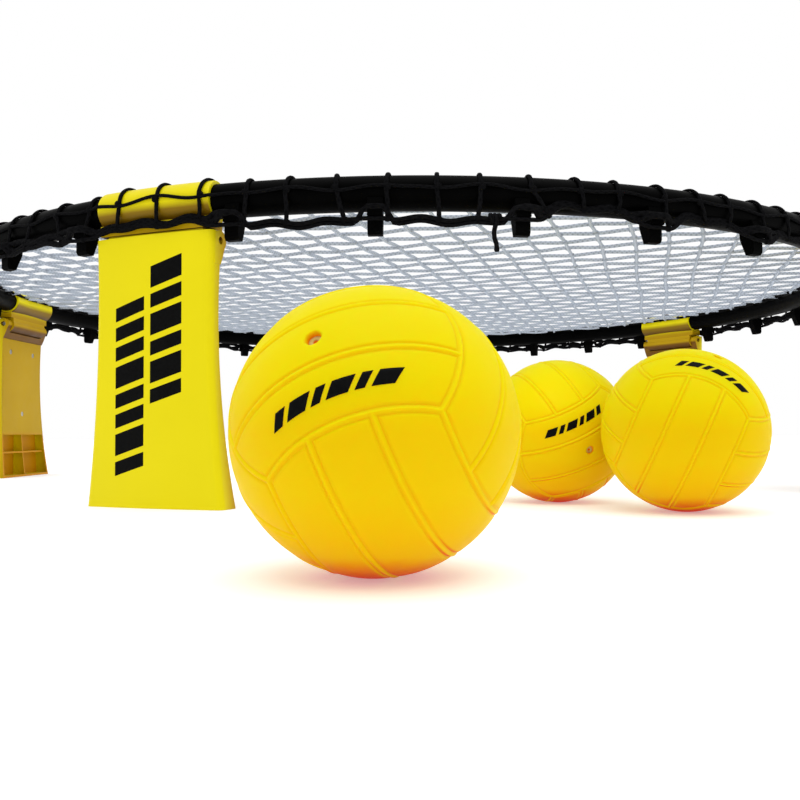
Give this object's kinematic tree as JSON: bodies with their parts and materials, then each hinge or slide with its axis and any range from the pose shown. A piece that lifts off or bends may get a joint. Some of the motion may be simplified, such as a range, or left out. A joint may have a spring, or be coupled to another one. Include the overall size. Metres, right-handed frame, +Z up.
{
  "type": "roundnet set",
  "caption": "Low round net stretched over a tubular ring on folding waisted legs, with small seamed inflatable balls beside it.",
  "frame": {"origin": "on the ground under the middle of the net", "axes": "+Z up; the balls lie on the -Y side, and leg 1 stands 21 degrees from -Y towards -X"},
  "size_m": [0.9253, 1.2072, 0.2125],
  "materials": {
    "leg_plastic": "satin",
    "rim_plastic": "satin",
    "hook_plastic": "matte",
    "steel": "satin",
    "net_cord": "matte",
    "border_cord": "matte",
    "ball_rubber": "satin",
    "valve_rubber": "matte"
  },
  "bodies": {
    "frame": {"rim_tube_1": "rim_plastic", "rim_tube_2": "rim_plastic", "rim_tube_3": "rim_plastic", "rim_tube_4": "rim_plastic", "rim_tube_5": "rim_plastic", "leg_head_1": "leg_plastic", "hinge_pin_1": "steel", "leg_head_2": "leg_plastic", "hinge_pin_2": "steel", "leg_head_3": "leg_plastic", "hinge_pin_3": "steel", "leg_head_4": "leg_plastic", "hinge_pin_4": "steel", "leg_head_5": "leg_plastic", "hinge_pin_5": "steel", "net_hooks_1": "hook_plastic", "net_hooks_2": "hook_plastic", "net_hooks_3": "hook_plastic", "net_hooks_4": "hook_plastic", "net_hooks_5": "hook_plastic", "net_bed": "net_cord", "net_border": "border_cord", "perimeter_cord": "border_cord", "cord_knot": "border_cord"},
    "leg_1": {"leg_shell_1": "leg_plastic", "leg_back_plate_1": "leg_plastic", "leg_screws_1": "steel"},
    "leg_2": {"leg_shell_2": "leg_plastic", "leg_back_plate_2": "leg_plastic", "leg_screws_2": "steel"},
    "leg_3": {"leg_shell_3": "leg_plastic", "leg_back_plate_3": "leg_plastic", "leg_screws_3": "steel"},
    "leg_4": {"leg_shell_4": "leg_plastic", "leg_back_plate_4": "leg_plastic", "leg_screws_4": "steel"},
    "leg_5": {"leg_shell_5": "leg_plastic", "leg_back_plate_5": "leg_plastic", "leg_screws_5": "steel"},
    "ball_front": {"ball_skin_front": "ball_rubber", "ball_valve_front": "valve_rubber"},
    "ball_right": {"ball_skin_right": "ball_rubber", "ball_valve_right": "valve_rubber"},
    "ball_left": {"ball_skin_left": "ball_rubber", "ball_valve_left": "valve_rubber"}
  },
  "joints": [
    {"name": "leg_1_fold", "type": "hinge", "parent": "frame", "child": "leg_1", "pos_m": [-0.16383, -0.4159, 0.172], "axis": [0.9304, -0.3665, 0], "range_deg": [0, 90]},
    {"name": "leg_2_fold", "type": "hinge", "parent": "frame", "child": "leg_2", "pos_m": [0.34492, -0.28433, 0.172], "axis": [0.6361, 0.7716, 0], "range_deg": [0, 90]},
    {"name": "leg_3_fold", "type": "hinge", "parent": "frame", "child": "leg_3", "pos_m": [0.377, 0.24017, 0.172], "axis": [-0.5373, 0.8434, 0], "range_deg": [0, 90]},
    {"name": "leg_4_fold", "type": "hinge", "parent": "frame", "child": "leg_4", "pos_m": [-0.11192, 0.43276, 0.172], "axis": [-0.9681, -0.2504, 0], "range_deg": [0, 90]},
    {"name": "leg_5_fold", "type": "hinge", "parent": "frame", "child": "leg_5", "pos_m": [-0.44617, 0.02729, 0.172], "axis": [-0.061, -0.9981, 0], "range_deg": [0, 90]},
    {"name": "ball_front_lift", "type": "slide", "parent": "frame", "child": "ball_front", "axis": [0, 0, 1], "range_m": [0, 0.3]},
    {"name": "ball_right_lift", "type": "slide", "parent": "frame", "child": "ball_right", "axis": [0.2354, -0.6668, 0.7071], "range_m": [0, 0.3]},
    {"name": "ball_left_roll_out", "type": "slide", "parent": "frame", "child": "ball_left", "axis": [-0.8, -0.6, 0], "range_m": [0, 0.2]}
  ]
}
